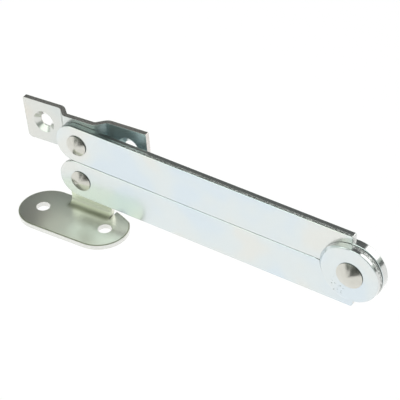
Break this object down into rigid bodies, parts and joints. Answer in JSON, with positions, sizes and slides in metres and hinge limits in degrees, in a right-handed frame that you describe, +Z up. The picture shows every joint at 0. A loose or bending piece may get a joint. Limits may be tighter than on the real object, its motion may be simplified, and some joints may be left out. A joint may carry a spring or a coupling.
{
  "type": "lid stay",
  "caption": "Folding lid stay: flat steel arms that turn on a pressed-forward elbow ear, with a bridge-shaped wall bracket and a folded foot plate.",
  "frame": {"origin": "midway between the upper bracket's two screw holes, on the wall plane behind its tabs", "axes": "+X along the folded arms from the brackets to the elbow; +Y into the wall; +Z up, with the upper arm above the lower arm"},
  "size_m": [0.1616, 0.0254, 0.0459],
  "materials": {
    "zinc_plated_steel": "bright zinc plate, smooth, with a faint blue and straw iridescence",
    "rivet_steel": "satin plated steel, domed by heading"
  },
  "bodies": {
    "upper_bracket": {"upper_bracket": "zinc_plated_steel", "upper_rivet": "rivet_steel"},
    "upper_arm": {"upper_arm": "zinc_plated_steel"},
    "lower_arm": {"lower_arm": "zinc_plated_steel", "elbow_rivet": "rivet_steel", "foot_rivet": "rivet_steel"},
    "foot_bracket": {"foot_bracket": "zinc_plated_steel"}
  },
  "joints": [
    {"name": "upper_pivot", "type": "hinge", "parent": "upper_bracket", "child": "upper_arm", "pos_m": [0.00044, -0.0074, -0.00047], "axis": [0, -1, 0], "range_deg": [-20, 20]},
    {"name": "elbow", "type": "hinge", "parent": "upper_arm", "child": "lower_arm", "pos_m": [0.12044, -0.0074, -0.00717], "axis": [0, -1, 0], "range_deg": [0, 182]},
    {"name": "foot_pivot", "type": "hinge", "parent": "lower_arm", "child": "foot_bracket", "pos_m": [0.00184, -0.0074, -0.01682], "axis": [0, -1, 0], "range_deg": [-60, 11]}
  ]
}
